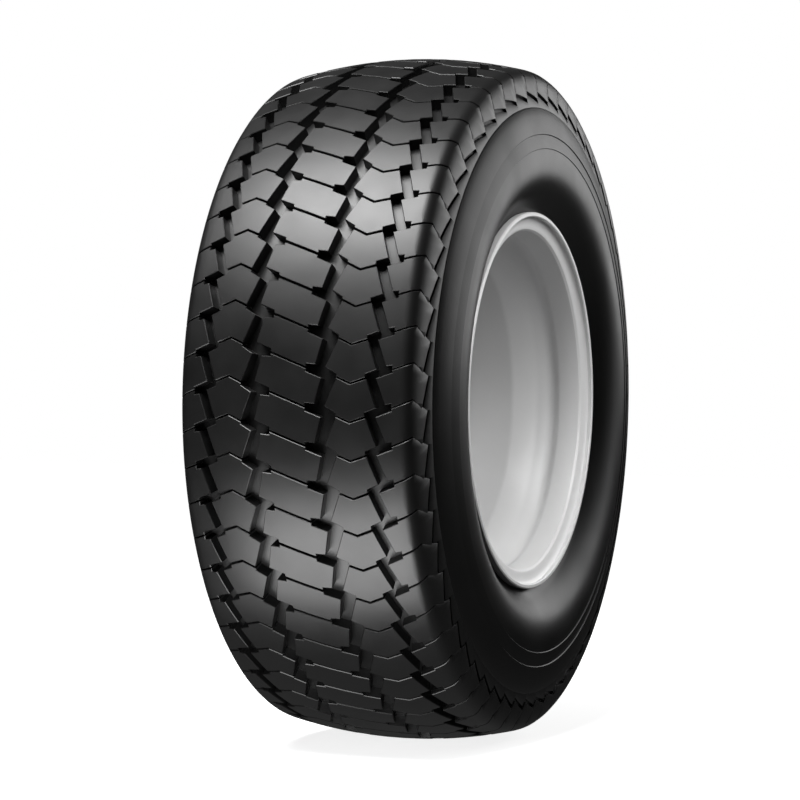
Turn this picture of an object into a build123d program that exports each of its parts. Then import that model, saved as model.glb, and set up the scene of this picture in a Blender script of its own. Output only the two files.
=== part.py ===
"""Implement tyre on its steel drop-centre wheel, built up layer by layer.

The wheel stands upright, its axle line along Y and its centre at the origin. The outer
face, where the valve is reached, looks along -Y, and the hub bolts on from +Y.
Sections are drawn as (radius, place along the axle) and turned about the axle line.
"""

import os
from math import cos, radians, sin

from build123d import *

os.makedirs("parts", exist_ok=True)

# Tyre, overall
tyre_radius = 450.0
tread_half_width = 145.5
crown_drop = 18.0
shoulder_bevel_width = 5.9
shoulder_bevel_drop = 6.7
shoulder_foot_half_width = 162.8
shoulder_foot_drop = 68.1
bulge_half_width = 176.0
bulge_radius = 318.0

# Tread pattern: sizes across the tread, measured from the middle line
pitch_count = 60
groove_depth = 15.0
slit_width = 2.4
block_reach = 0.7
centre_block_slit_end = 23.4
centre_block_tip = 43.3
centre_block_root = 35.5
middle_block_inner_tip = 48.2
middle_block_inner_root = 62.2
middle_block_apex = 79.5
middle_block_outer_root = 97.8
middle_block_outer_tip = 111.6
edge_block_tip = 111.3
edge_block_root = 122.5
edge_block_slit_end = 130.0

# Tread pattern: places around the tread, as shares of one pitch
centre_slit_slant = 0.19
centre_notch_depth = 0.10
centre_tip_share = 0.455
middle_slit_end = 0.43
middle_slit_apex = 0.58
middle_inner_tip_share = 1.165
middle_inner_step_share = 1.338
middle_outer_tip_share = 1.20
middle_outer_step_share = 1.32
edge_slit_start = 0.20
edge_tip_share = 0.438
edge_root_share = 1.10
edge_slit_crest = -0.03
edge_slit_foot = 0.265

# Shoulder blocks: the saw-tooth lower edge, down from the tyre's top
saw_tooth_high_drop = 44.1
saw_tooth_low_drop = 55.3

# Tyre layers
skirt_cover = 9.0
tooth_root = 6.0
tread_flank_step = 2.3
breaker_thickness = 2.5
carcass_thickness = 4.0
liner_thickness = 2.5
ply_shoulder_half_width = 128.0
ply_shoulder_drop = 40.0
ply_bulge_cover = 8.0
ply_toe_half_width = 122.0
ply_shoulder_set_in = 0.5
ply_toe_set_in = 1.13

# Bead
chafer_thickness = 4.0
chafer_toe_half_width = 112.0
bead_core_size = 9.5
bead_core_wall_gap = 2.9
filler_height = 47.5

# Rim: flange to flange it is an 11 inch rim, on an 18 inch bead seat
rim_half_width = 139.7
flange_radius = 247.0
flange_curl = 6.3
lip_width = 9.9
seat_radius = 229.0
seat_width = 35.7
seat_rise = 3.1
well_radius = 206.0
well_half_width = 52.0
rim_wall = 6.0
slope_set_off = 2.0

# Disc and its hub fixing
hub_bore_radius = 80.5
stud_circle_radius = 102.5
stud_hole_radius = 10.5
stud_count = 6
stud_seat_depth = 3.0
hub_face = 15.0
disc_thickness = 10.0
disc_flat_radius = 131.0
skirt_start = 24.0
skirt_length = 24.0
skirt_thickness = 8.0
weld_leg = 6.0
cone_set_in = 5.0

# Valve, bolted through the well floor at the bottom of the wheel
valve_place = -25.0
valve_hole_radius = 7.9
valve_seat_radius = 13.0
outer_seat_cut = 0.45
stem_radius = 5.9
stem_head_radius = 11.5
stem_head_thickness = 3.0
stem_thick_length = 30.5
stem_neck_radius = 3.9
stem_neck_length = 18.0
grommet_thickness = 3.0
grommet_clearance = 0.1
washer_thickness = 1.5
nut_across_flats = 17.0
nut_height = 6.0
thread_clearance = 0.1
core_chamber_radius = 2.65
core_chamber_depth = 26.0
air_way_radius = 1.5
core_barrel_radius = 2.6
core_barrel_length = 11.0
core_barrel_sink = 4.0
core_pin_radius = 0.85
core_pin_sink = 1.5
core_pin_clearance = 0.1
core_pin_tail = 3.0
core_cup_radius = 1.9
core_cup_thickness = 2.5
spring_wire = 0.4
spring_radius = 1.45
spring_turns = 4
cap_radius = 5.2
cap_skirt = 15.0
cap_roof = 2.0
cap_seal_thickness = 1.0
cap_clearance = 0.1

# Places that follow from the sizes
pitch_angle = 360.0 / pitch_count
tread_edge_radius = tyre_radius - crown_drop
shoulder_radius = tread_edge_radius - shoulder_bevel_drop
shoulder_half_width = tread_half_width + shoulder_bevel_width
foot_radius = tyre_radius - shoulder_foot_drop
ply_crown_radius = tyre_radius - ply_shoulder_drop
ply_bulge_half_width = bulge_half_width - ply_bulge_cover
breaker_top = ply_crown_radius + 2 * breaker_thickness
bead_base = seat_radius + chafer_thickness
core_top = bead_base + bead_core_size
core_outer_face = rim_half_width - bead_core_wall_gap
core_inner_face = core_outer_face - bead_core_size
lip_end = rim_half_width + flange_curl + lip_width
well_inner_radius = well_radius - rim_wall
filler_top = core_top + filler_height
valve_inner_seat = -well_inner_radius
valve_outer_seat = -well_radius + outer_seat_cut
grommet_bottom = valve_outer_seat - grommet_thickness
head_bottom = grommet_bottom - stem_head_thickness
shank_top = grommet_bottom + stem_thick_length
stem_top = shank_top + stem_neck_length
chamber_bottom = stem_top - core_chamber_depth
barrel_bottom = stem_top - core_barrel_sink - core_barrel_length
cup_bottom = barrel_bottom - core_cup_thickness
cap_top = stem_top + cap_seal_thickness + cap_roof


def section(points):
    """Draw a closed outline through its corners, where they stand."""
    Polygon(*points, align=None)


def at_side(side, points):
    """Put a section drawn for positive places on the inner (+1) or outer (-1) side."""
    return [(radius, side * place) for radius, place in points]


def both_sides(half):
    """Mirror a half line, drawn from the middle outwards, into one whole line."""
    return [(radius, -place) for radius, place in reversed(half)] + half


def ply_line(depth):
    """A line from bead to bead, at a depth below the carcass's outer surface."""
    shoulder_place = ply_shoulder_half_width - depth * ply_shoulder_set_in
    toe_place = ply_toe_half_width - depth * ply_toe_set_in
    return both_sides(
        [
            (ply_crown_radius - depth, shoulder_place),
            (bulge_radius, ply_bulge_half_width - depth),
            (bead_base, toe_place),
        ]
    )


def ply_place(radius):
    """Where the carcass's outer surface stands at a radius between shoulder and toe."""
    if radius > bulge_radius:
        share = (radius - bulge_radius) / (ply_crown_radius - bulge_radius)
        return ply_bulge_half_width + share * (ply_shoulder_half_width - ply_bulge_half_width)
    share = (radius - bead_base) / (bulge_radius - bead_base)
    return ply_toe_half_width + share * (ply_bulge_half_width - ply_toe_half_width)


def crown_line(depth):
    """The tread's crown at a depth, in straight runs that break inside the grooves."""
    steps = [centre_block_tip, middle_block_outer_tip, tread_half_width]
    level = crown_drop * (centre_block_tip / tread_half_width) ** 2
    drops = [level] + [crown_drop * (step / tread_half_width) ** 2 for step in steps[1:]]
    return [(tyre_radius + level - drop - depth, step) for drop, step in zip(drops, steps)]


def flank_place(radius, inset=0.0):
    """Where the shoulder's flank stands at a radius, less an inset."""
    share = (shoulder_radius - radius) / (shoulder_radius - foot_radius)
    run = shoulder_foot_half_width - shoulder_half_width
    return shoulder_half_width + share * run - inset


def seat_at(place):
    """Radius of the rim's tapered bead seat at a place across the wheel."""
    return seat_radius - seat_rise * (rim_half_width - place) / seat_width


def facing(angle):
    """Plane through the axle line that looks out along a radius; its y runs to the outer face."""
    turn = radians(angle)
    return Plane(origin=(0, 0, 0), x_dir=(-sin(turn), 0, cos(turn)), z_dir=(cos(turn), 0, sin(turn)))


def standing(angle):
    """Plane that holds the axle line and a radius, for sections across the tread."""
    turn = radians(angle)
    return Plane(origin=(0, 0, 0), x_dir=(cos(turn), 0, sin(turn)), z_dir=(-sin(turn), 0, cos(turn)))


def on_tread(share, place, centre_share):
    """A block's corner: its share of a pitch becomes millimetres around the tread."""
    turn = radians((share - centre_share) * pitch_angle)
    return ((tyre_radius - crown_drop / 2) * sin(turn), place)


def half_turned(points):
    """The same outline on the other side of the tread, turned half a turn."""
    return [(-share, -place) for share, place in points]


slit_share = slit_width / (tyre_radius * radians(pitch_angle)) / 2

centre_half = [
    (centre_slit_slant + slit_share, centre_block_slit_end),
    (centre_tip_share, centre_block_tip),
    (1 + centre_notch_depth, centre_block_root),
    (1 + centre_slit_slant - slit_share, centre_block_slit_end),
]
centre_block = centre_half + [(1 - share, -place) for share, place in centre_half]

middle_block = [
    (middle_slit_end + slit_share, middle_block_inner_root),
    (middle_inner_tip_share, middle_block_inner_tip),
    (1 + middle_slit_end - slit_share, middle_block_inner_root),
    (1 + middle_slit_apex - slit_share, middle_block_apex),
    (1 + middle_slit_end - slit_share, middle_block_outer_root),
    (middle_outer_tip_share, middle_block_outer_tip),
    (middle_slit_end + slit_share, middle_block_outer_root),
    (middle_slit_apex + slit_share, middle_block_apex),
]

edge_slit = [
    (edge_slit_start, edge_block_slit_end),
    (edge_slit_crest, shoulder_half_width),
    (edge_slit_foot, flank_place(tyre_radius - saw_tooth_low_drop)),
    (edge_slit_foot, shoulder_foot_half_width + lip_width),
]
edge_block = (
    [(share + slit_share, place) for share, place in reversed(edge_slit)]
    + [(edge_tip_share, edge_block_tip), (edge_root_share, edge_block_root)]
    + [(1 + share - slit_share, place) for share, place in edge_slit]
)

tread_rows = [
    (0.5, centre_block),
    (1.0, middle_block),
    (0.65, edge_block),
    (-1.0, half_turned(middle_block)),
    (-0.65, half_turned(edge_block)),
]

block_envelope = both_sides(
    [(radius * cos(radians(block_reach * pitch_angle)), place) for radius, place in crown_line(0)]
    + [
        (shoulder_radius, shoulder_half_width),
        (foot_radius + tooth_root, flank_place(foot_radius + tooth_root)),
    ]
) + [
    (foot_radius + tooth_root, flank_place(foot_radius + tooth_root, skirt_cover)),
    (breaker_top + 1, tread_half_width - skirt_cover),
    (breaker_top + 1, skirt_cover - tread_half_width),
    (foot_radius + tooth_root, -flank_place(foot_radius + tooth_root, skirt_cover)),
]

# One pitch of tread blocks: straight-walled studs, trimmed to the crown and the shoulders
pitch_blocks = []
for centre_share, corners in tread_rows:
    with BuildPart() as block:
        with BuildSketch(facing(centre_share * pitch_angle).offset(foot_radius)):
            section([on_tread(share, place, centre_share) for share, place in corners])
        extrude(amount=tyre_radius - foot_radius)
        with BuildSketch(standing(centre_share * pitch_angle)):
            section(block_envelope)
        extrude(amount=tyre_radius * radians(pitch_angle), both=True, mode=Mode.INTERSECT)
    pitch_blocks.append(block.part)
tread_blocks = [
    block.rotate(Axis.Y, step * pitch_angle) for block in pitch_blocks for step in range(pitch_count)
]

# Tread: the skirted band that carries the blocks
with BuildPart() as tread_cap:
    with BuildSketch(Plane.XY):
        section(
            both_sides(
                crown_line(groove_depth)[:2]
                + [
                    (tread_edge_radius - groove_depth, tread_half_width),
                    (foot_radius, shoulder_foot_half_width - tread_flank_step),
                ]
            )
            + [
                (foot_radius, ply_place(foot_radius)),
                (ply_crown_radius, ply_shoulder_half_width),
                (breaker_top, ply_shoulder_half_width),
                (breaker_top, -ply_shoulder_half_width),
                (ply_crown_radius, -ply_shoulder_half_width),
                (foot_radius, -ply_place(foot_radius)),
            ]
        )
    revolve(axis=Axis.Y)
    add(tread_blocks)
tread_cap.part.label = "tread_cap"
export_step(tread_cap.part, "parts/tread_cap.step")

# Breakers: two flat plies between the tread and the carcass
for level, name in enumerate(("breaker_inner_ply", "breaker_outer_ply")):
    under = ply_crown_radius + level * breaker_thickness
    over = under + breaker_thickness
    with BuildPart() as breaker:
        with BuildSketch(Plane.XY):
            section(both_sides([(over, ply_shoulder_half_width)]) + [
                (under, ply_shoulder_half_width), (under, -ply_shoulder_half_width)])
        revolve(axis=Axis.Y)
    breaker.part.label = name
    export_step(breaker.part, f"parts/{name}.step")

# Carcass and liner: even layers from bead to bead
layers = (
    ("carcass_ply", 0.0, carcass_thickness),
    ("inner_liner", carcass_thickness, carcass_thickness + liner_thickness),
)
for name, start, end in layers:
    with BuildPart() as layer:
        with BuildSketch(Plane.XY):
            section(ply_line(start) + list(reversed(ply_line(end))))
        revolve(axis=Axis.Y)
    layer.part.label = name
    export_step(layer.part, f"parts/{name}.step")

# Sidewalls and beads, the same on both sides of the wheel
for side, side_name in ((-1, "outer"), (1, "inner")):
    with BuildPart() as sidewall:
        with BuildSketch(Plane.XY):
            section(
                at_side(
                    side,
                    [
                        (bead_base, core_outer_face),
                        (bead_base, rim_half_width),
                        (flange_radius - flange_curl, rim_half_width),
                        (flange_radius, rim_half_width + flange_curl),
                        (bulge_radius, bulge_half_width),
                        (foot_radius, shoulder_foot_half_width),
                        (foot_radius, ply_place(foot_radius)),
                        (bulge_radius, ply_bulge_half_width),
                        (filler_top, ply_place(filler_top)),
                        (core_top, core_outer_face),
                    ],
                )
            )
        revolve(axis=Axis.Y)
    sidewall.part.label = f"sidewall_{side_name}"
    export_step(sidewall.part, f"parts/sidewall_{side_name}.step")

    with BuildPart() as bead_core:
        with BuildSketch(Plane.XY):
            section(
                at_side(
                    side,
                    [
                        (bead_base, core_inner_face),
                        (bead_base, core_outer_face),
                        (core_top, core_outer_face),
                        (core_top, core_inner_face),
                    ],
                )
            )
        revolve(axis=Axis.Y)
    bead_core.part.label = f"bead_core_{side_name}"
    export_step(bead_core.part, f"parts/bead_core_{side_name}.step")

    with BuildPart() as bead_filler:
        with BuildSketch(Plane.XY):
            section(
                at_side(
                    side,
                    [
                        (core_top, ply_place(core_top)),
                        (core_top, core_outer_face),
                        (filler_top, ply_place(filler_top)),
                    ],
                )
            )
        revolve(axis=Axis.Y)
    bead_filler.part.label = f"bead_filler_{side_name}"
    export_step(bead_filler.part, f"parts/bead_filler_{side_name}.step")

    with BuildPart() as chafer:
        with BuildSketch(Plane.XY):
            section(
                at_side(
                    side,
                    [
                        (seat_at(chafer_toe_half_width), chafer_toe_half_width),
                        (seat_radius, rim_half_width),
                        (bead_base, rim_half_width),
                        (bead_base, chafer_toe_half_width),
                    ],
                )
            )
        revolve(axis=Axis.Y)
    chafer.part.label = f"chafer_{side_name}"
    export_step(chafer.part, f"parts/chafer_{side_name}.step")

# Rim: one rolled section, flange to flange, with the valve hole in the well floor
rim_outside = [
    (well_radius, well_half_width),
    (seat_at(rim_half_width - seat_width), rim_half_width - seat_width),
    (seat_radius, rim_half_width),
    (flange_radius - flange_curl, rim_half_width),
    (flange_radius, rim_half_width + flange_curl),
    (flange_radius, lip_end),
]
rim_inside = [
    (well_radius - rim_wall, well_half_width + slope_set_off),
    (seat_at(rim_half_width - seat_width) - rim_wall, rim_half_width - seat_width + slope_set_off),
    (seat_radius - rim_wall, rim_half_width + rim_wall),
    (flange_radius - flange_curl - rim_wall / 3, rim_half_width + rim_wall),
    (flange_radius - rim_wall, lip_end),
]
with BuildPart() as rim_barrel:
    with BuildSketch(Plane.XY):
        section(both_sides(rim_outside) + list(reversed(both_sides(rim_inside))))
    revolve(axis=Axis.Y)
    valve_site = Location((0, valve_place, 0))
    with BuildSketch(Plane.XY.offset(valve_inner_seat)):
        with Locations(valve_site):
            Circle(valve_seat_radius)
    extrude(amount=rim_wall, mode=Mode.SUBTRACT)
    with BuildSketch(Plane.XY.offset(valve_outer_seat)):
        with Locations(valve_site):
            Circle(valve_seat_radius)
    extrude(amount=-rim_wall, mode=Mode.SUBTRACT)
    with BuildSketch(Plane.XY.offset(-well_radius - rim_wall)):
        with Locations(valve_site):
            Circle(valve_hole_radius)
    extrude(amount=3 * rim_wall, mode=Mode.SUBTRACT)
rim_barrel.part.label = "rim_barrel"
export_step(rim_barrel.part, "parts/rim_barrel.step")

# Disc: flat hub plate, cone, and the skirt that fits inside the well
with BuildPart() as wheel_disc:
    with BuildSketch(Plane.XY):
        section(
            [
                (hub_bore_radius, hub_face - disc_thickness),
                (disc_flat_radius, hub_face - disc_thickness),
                (well_inner_radius - cone_set_in, skirt_start),
                (well_inner_radius, skirt_start),
                (well_inner_radius, skirt_start + skirt_length),
                (well_inner_radius - skirt_thickness, skirt_start + skirt_length),
                (well_inner_radius - skirt_thickness, skirt_start + disc_thickness),
                (disc_flat_radius, hub_face),
                (hub_bore_radius, hub_face),
            ]
        )
    revolve(axis=Axis.Y)
    with BuildSketch(Plane.XZ.offset(-hub_face)):
        with PolarLocations(stud_circle_radius, stud_count):
            Circle(stud_hole_radius)
    extrude(amount=disc_thickness, mode=Mode.SUBTRACT)
wheel_disc.part.label = "wheel_disc"
export_step(wheel_disc.part, "parts/wheel_disc.step")

with BuildPart() as disc_weld:
    with BuildSketch(Plane.XY):
        section(
            [
                (well_inner_radius, skirt_start + skirt_length),
                (well_inner_radius, skirt_start + skirt_length + weld_leg),
                (well_inner_radius - weld_leg, skirt_start + skirt_length),
            ]
        )
    revolve(axis=Axis.Y)
disc_weld.part.label = "disc_weld"
export_step(disc_weld.part, "parts/disc_weld.step")


valve_axis = Axis((0, valve_place, 0), (0, 0, 1))
valve_section = Plane(origin=(0, valve_place, 0), x_dir=(1, 0, 0), z_dir=(0, -1, 0))

# Valve stem: head inside the tyre, thick threaded shank, thin neck for the cap
with BuildPart() as valve_stem:
    with BuildSketch(valve_section):
        section(
            [
                (air_way_radius, head_bottom),
                (stem_head_radius, head_bottom),
                (stem_head_radius, grommet_bottom),
                (stem_radius, grommet_bottom),
                (stem_radius, shank_top),
                (stem_neck_radius, shank_top),
                (stem_neck_radius, stem_top),
                (core_chamber_radius, stem_top),
                (core_chamber_radius, stem_top - core_chamber_depth),
                (air_way_radius, stem_top - core_chamber_depth),
            ]
        )
    revolve(axis=valve_axis)
valve_stem.part.label = "valve_stem"
export_step(valve_stem.part, "parts/valve_stem.step")

with BuildPart() as valve_grommet:
    with BuildSketch(valve_section):
        section(
            [
                (stem_radius + grommet_clearance, grommet_bottom),
                (stem_head_radius, grommet_bottom),
                (stem_head_radius, valve_outer_seat),
                (valve_hole_radius - grommet_clearance, valve_outer_seat),
                (valve_hole_radius - grommet_clearance, valve_inner_seat),
                (stem_radius + grommet_clearance, valve_inner_seat),
            ]
        )
    revolve(axis=valve_axis)
valve_grommet.part.label = "valve_grommet"
export_step(valve_grommet.part, "parts/valve_grommet.step")

with BuildPart() as valve_washer:
    with BuildSketch(Plane.XY.offset(valve_inner_seat)):
        with Locations(valve_site):
            Circle(stem_head_radius)
            Circle(stem_radius + thread_clearance, mode=Mode.SUBTRACT)
    extrude(amount=washer_thickness)
valve_washer.part.label = "valve_washer"
export_step(valve_washer.part, "parts/valve_washer.step")

with BuildPart() as valve_nut:
    with BuildSketch(Plane.XY.offset(valve_inner_seat + washer_thickness)):
        with Locations(valve_site):
            RegularPolygon(nut_across_flats / 2, 6, major_radius=False)
            Circle(stem_radius + thread_clearance, mode=Mode.SUBTRACT)
    extrude(amount=nut_height)
valve_nut.part.label = "valve_nut"
export_step(valve_nut.part, "parts/valve_nut.step")

# Valve core: fixed barrel, sprung pin with its sealing cup below the barrel
with BuildPart() as valve_core_barrel:
    with BuildSketch(Plane.XY.offset(barrel_bottom)):
        with Locations(valve_site):
            Circle(core_barrel_radius)
            Circle(core_pin_radius + core_pin_clearance, mode=Mode.SUBTRACT)
    extrude(amount=core_barrel_length)
valve_core_barrel.part.label = "valve_core_barrel"
export_step(valve_core_barrel.part, "parts/valve_core_barrel.step")

with BuildPart() as valve_core_pin:
    with BuildSketch(Plane.XY.offset(cup_bottom - core_pin_tail)):
        with Locations(valve_site):
            Circle(core_pin_radius)
    extrude(amount=stem_top - core_pin_sink - cup_bottom + core_pin_tail)
valve_core_pin.part.label = "valve_core_pin"
export_step(valve_core_pin.part, "parts/valve_core_pin.step")

with BuildPart() as valve_core_seal:
    with BuildSketch(Plane.XY.offset(cup_bottom)):
        with Locations(valve_site):
            Circle(core_cup_radius)
            Circle(core_pin_radius, mode=Mode.SUBTRACT)
    extrude(amount=core_cup_thickness)
valve_core_seal.part.label = "valve_core_seal"
export_step(valve_core_seal.part, "parts/valve_core_seal.step")

with BuildPart() as valve_core_spring:
    spring_length = cup_bottom - chamber_bottom - spring_wire
    with BuildLine():
        coil = Helix(
            pitch=spring_length / spring_turns,
            height=spring_length,
            radius=spring_radius,
            center=(0, valve_place, chamber_bottom + spring_wire / 2),
        )
    with BuildSketch(Plane(origin=coil @ 0, z_dir=coil % 0)):
        Rectangle(spring_wire, spring_wire)
    sweep()
valve_core_spring.part.label = "valve_core_spring"
export_step(valve_core_spring.part, "parts/valve_core_spring.step")

# Cap: closes on its own seal against the stem's mouth
with BuildPart() as valve_cap:
    with BuildSketch(valve_section):
        section(
            [
                (0, cap_top),
                (cap_radius, cap_top),
                (cap_radius, stem_top - cap_skirt),
                (stem_neck_radius + cap_clearance, stem_top - cap_skirt),
                (stem_neck_radius + cap_clearance, cap_top - cap_roof),
                (0, cap_top - cap_roof),
            ]
        )
    revolve(axis=valve_axis)
valve_cap.part.label = "valve_cap"
export_step(valve_cap.part, "parts/valve_cap.step")

with BuildPart() as valve_cap_seal:
    with BuildSketch(Plane.XY.offset(stem_top)):
        with Locations(valve_site):
            Circle(stem_neck_radius)
    extrude(amount=cap_seal_thickness)
valve_cap_seal.part.label = "valve_cap_seal"
export_step(valve_cap_seal.part, "parts/valve_cap_seal.step")
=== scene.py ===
"""Looks of the implement tyre on its steel wheel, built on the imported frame.

Sizes are in millimetres, as on the drawings, and turn into metres when a mesh is made.
The wheel's axle line is Y, its centre is the origin, and the outer face looks along -Y.
"""

from __future__ import annotations

import logging
import math
from collections.abc import Callable, Iterable
from dataclasses import dataclass, field
from enum import Enum
from typing import Any

import bmesh
import bpy
from mathutils import Matrix, Vector


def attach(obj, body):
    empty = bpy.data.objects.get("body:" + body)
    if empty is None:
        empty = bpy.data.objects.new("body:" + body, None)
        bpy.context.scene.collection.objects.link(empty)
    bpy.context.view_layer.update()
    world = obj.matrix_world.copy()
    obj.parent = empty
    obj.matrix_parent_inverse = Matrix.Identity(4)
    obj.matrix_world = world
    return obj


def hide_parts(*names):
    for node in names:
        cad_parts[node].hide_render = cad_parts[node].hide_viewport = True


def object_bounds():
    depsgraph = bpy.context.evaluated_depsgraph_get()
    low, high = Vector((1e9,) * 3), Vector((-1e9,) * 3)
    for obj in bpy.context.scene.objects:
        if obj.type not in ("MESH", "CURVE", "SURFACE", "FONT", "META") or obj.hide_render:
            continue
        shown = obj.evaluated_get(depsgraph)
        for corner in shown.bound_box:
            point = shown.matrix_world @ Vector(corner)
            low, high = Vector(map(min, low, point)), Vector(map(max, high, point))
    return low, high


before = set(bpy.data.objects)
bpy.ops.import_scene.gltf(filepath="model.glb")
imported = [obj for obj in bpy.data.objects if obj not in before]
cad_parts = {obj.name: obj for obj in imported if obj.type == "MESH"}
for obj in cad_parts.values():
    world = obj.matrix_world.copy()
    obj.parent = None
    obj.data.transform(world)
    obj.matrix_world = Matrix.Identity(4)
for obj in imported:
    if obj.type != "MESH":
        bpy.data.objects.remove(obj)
CAD_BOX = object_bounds()

log = logging.getLogger("tyre")

MM = 0.001
PITCHES = 60
PITCH_ANGLE = 360.0 / PITCHES
AXLE = Vector((0.0, 1.0, 0.0))
ORIGIN = Vector((0.0, 0.0, 0.0))


class Body(Enum):
    """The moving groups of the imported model."""

    WHEEL = "wheel"
    CORE = "core"
    CAP = "cap"


class Side(Enum):
    """Which face of the wheel a piece belongs to, as the sign of its place along Y."""

    OUTER = -1
    INNER = 1

    @property
    def word(self) -> str:
        """The side's name as the nodes have it."""
        return self.name.lower()


# ---- small tools ----


def linear(hex_colour: str) -> tuple[float, float, float, float]:
    """Turn an sRGB hex colour into the linear one that the shaders take.

    Args:
        hex_colour: Six hex digits, with or without a leading hash.

    Returns:
        Red, green, blue and an alpha of 1.
    """
    digits = hex_colour.lstrip("#")
    parts = [int(digits[i : i + 2], 16) / 255 for i in (0, 2, 4)]
    r, g, b = (c / 12.92 if c <= 0.04045 else ((c + 0.055) / 1.055) ** 2.4 for c in parts)
    return (r, g, b, 1.0)


def add_node(
    tree: bpy.types.NodeTree,
    kind: str,
    settings: dict[str, Any] | None = None,
    links: dict[str | int, bpy.types.NodeSocket] | None = None,
) -> bpy.types.Node:
    """Add one node with its settings and its incoming links.

    Args:
        tree: The node tree that gets the node.
        kind: The node's class name.
        settings: Attribute names, or input names or numbers, with their values.
        links: Input names or numbers with the sockets that feed them.

    Returns:
        The new node.
    """
    node = tree.nodes.new(kind)
    for key, value in (settings or {}).items():
        if isinstance(key, str) and hasattr(node, key) and key not in node.inputs:
            setattr(node, key, value)
        else:
            node.inputs[key].default_value = value
    for key, socket in (links or {}).items():
        tree.links.new(socket, node.inputs[key])
    return node


def per_metre(size_mm: float) -> float:
    """Pattern scale for a feature of a real size, on coordinates in metres.

    Args:
        size_mm: The feature's size in millimetres.

    Returns:
        How many of it go into a metre.
    """
    return 1.0 / (size_mm * MM)


# ---- finishes ----


@dataclass(frozen=True)
class Finish:
    """A surface finish, written as one node material."""

    title: str
    colour: str
    roughness: float
    metallic: float = 0.0
    coat: float = 0.0
    coat_roughness: float = 0.1
    ior: float = 1.5

    def shader(self, material: bpy.types.Material) -> tuple[bpy.types.NodeTree, bpy.types.Node]:
        """Clear the material and place its shader.

        Args:
            material: The material to fill.

        Returns:
            The node tree and its shader node.
        """
        material.use_nodes = True
        tree = material.node_tree
        tree.nodes.clear()
        settings: dict[str, Any] = {
            "Base Color": linear(self.colour),
            "Roughness": self.roughness,
            "Metallic": self.metallic,
        }
        if not self.metallic:
            settings["IOR"] = self.ior
        if self.coat:
            settings["Coat Weight"] = self.coat
            settings["Coat Roughness"] = self.coat_roughness
        shader = add_node(tree, "ShaderNodeBsdfPrincipled", settings)
        add_node(tree, "ShaderNodeOutputMaterial", {}, {"Surface": shader.outputs["BSDF"]})
        return tree, shader

    def detail(self, tree: bpy.types.NodeTree, shader: bpy.types.Node) -> None:
        """Give the shader its pattern; a plain finish has none.

        Args:
            tree: The material's node tree.
            shader: The material's shader.
        """

    def made(self) -> bpy.types.Material:
        """Make the material, or hand back the one made before."""
        known = bpy.data.materials.get(self.title)
        if known is not None:
            return known
        material = bpy.data.materials.new(self.title)
        tree, shader = self.shader(material)
        self.detail(tree, shader)
        return material


@dataclass(frozen=True)
class GrainedFinish(Finish):
    """A finish with a fine grain in its relief and cloudy changes of gloss and shade."""

    grain_mm: float = 1.5
    grain_depth_mm: float = 0.05
    cloud_mm: float = 90.0
    gloss_spread: float = 0.08
    shade: str = ""
    shade_share: float = 0.5

    def detail(self, tree: bpy.types.NodeTree, shader: bpy.types.Node) -> None:
        """Add grain as bump, and clouds as gloss and shade.

        Args:
            tree: The material's node tree.
            shader: The material's shader.
        """
        place = add_node(tree, "ShaderNodeTexCoord").outputs["Object"]
        cloud = add_node(
            tree,
            "ShaderNodeTexNoise",
            {"Scale": per_metre(self.cloud_mm), "Detail": 3.0, "Roughness": 0.55},
            {"Vector": place},
        )
        gloss = add_node(
            tree,
            "ShaderNodeMapRange",
            {
                "From Min": 0.3,
                "From Max": 0.7,
                "To Min": self.roughness - self.gloss_spread,
                "To Max": self.roughness + self.gloss_spread,
            },
            {"Value": cloud.outputs["Fac"]},
        )
        tree.links.new(gloss.outputs["Result"], shader.inputs["Roughness"])
        if self.shade:
            spread = add_node(
                tree,
                "ShaderNodeMapRange",
                {"From Min": 0.35, "From Max": 0.75, "To Min": 0.0, "To Max": self.shade_share},
                {"Value": cloud.outputs["Fac"]},
            )
            mix = add_node(
                tree,
                "ShaderNodeMix",
                {"data_type": "RGBA", 6: linear(self.colour), 7: linear(self.shade)},
                {"Factor": spread.outputs["Result"]},
            )
            tree.links.new(mix.outputs[2], shader.inputs["Base Color"])
        height = self.height(tree, place)
        bump = add_node(
            tree,
            "ShaderNodeBump",
            {"Strength": 1.0, "Distance": self.grain_depth_mm * MM},
            {"Height": height},
        )
        tree.links.new(bump.outputs["Normal"], shader.inputs["Normal"])

    def height(
        self, tree: bpy.types.NodeTree, place: bpy.types.NodeSocket
    ) -> bpy.types.NodeSocket:
        """The relief's height, from 0 to 1.

        Args:
            tree: The material's node tree.
            place: The coordinates that the pattern reads.

        Returns:
            The socket that carries the height.
        """
        grain = add_node(
            tree,
            "ShaderNodeTexNoise",
            {"Scale": per_metre(self.grain_mm), "Detail": 2.0, "Roughness": 0.6},
            {"Vector": place},
        )
        return grain.outputs["Fac"]


def distance_from_axle(
    tree: bpy.types.NodeTree, place: bpy.types.NodeSocket
) -> tuple[bpy.types.NodeSocket, bpy.types.NodeSocket]:
    """Work out each point's radius and angle about the axle line.

    Args:
        tree: The node tree that gets the nodes.
        place: Object coordinates in metres.

    Returns:
        Sockets with the radius in metres and the angle in radians.
    """
    split = add_node(tree, "ShaderNodeSeparateXYZ", {}, {"Vector": place})
    flat = add_node(
        tree, "ShaderNodeCombineXYZ", {}, {"X": split.outputs["X"], "Y": split.outputs["Z"]}
    )
    radius = add_node(
        tree, "ShaderNodeVectorMath", {"operation": "LENGTH"}, {0: flat.outputs["Vector"]}
    )
    angle = add_node(
        tree,
        "ShaderNodeMath",
        {"operation": "ARCTAN2"},
        {0: split.outputs["Z"], 1: split.outputs["X"]},
    )
    return radius.outputs["Value"], angle.outputs["Value"]


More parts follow.
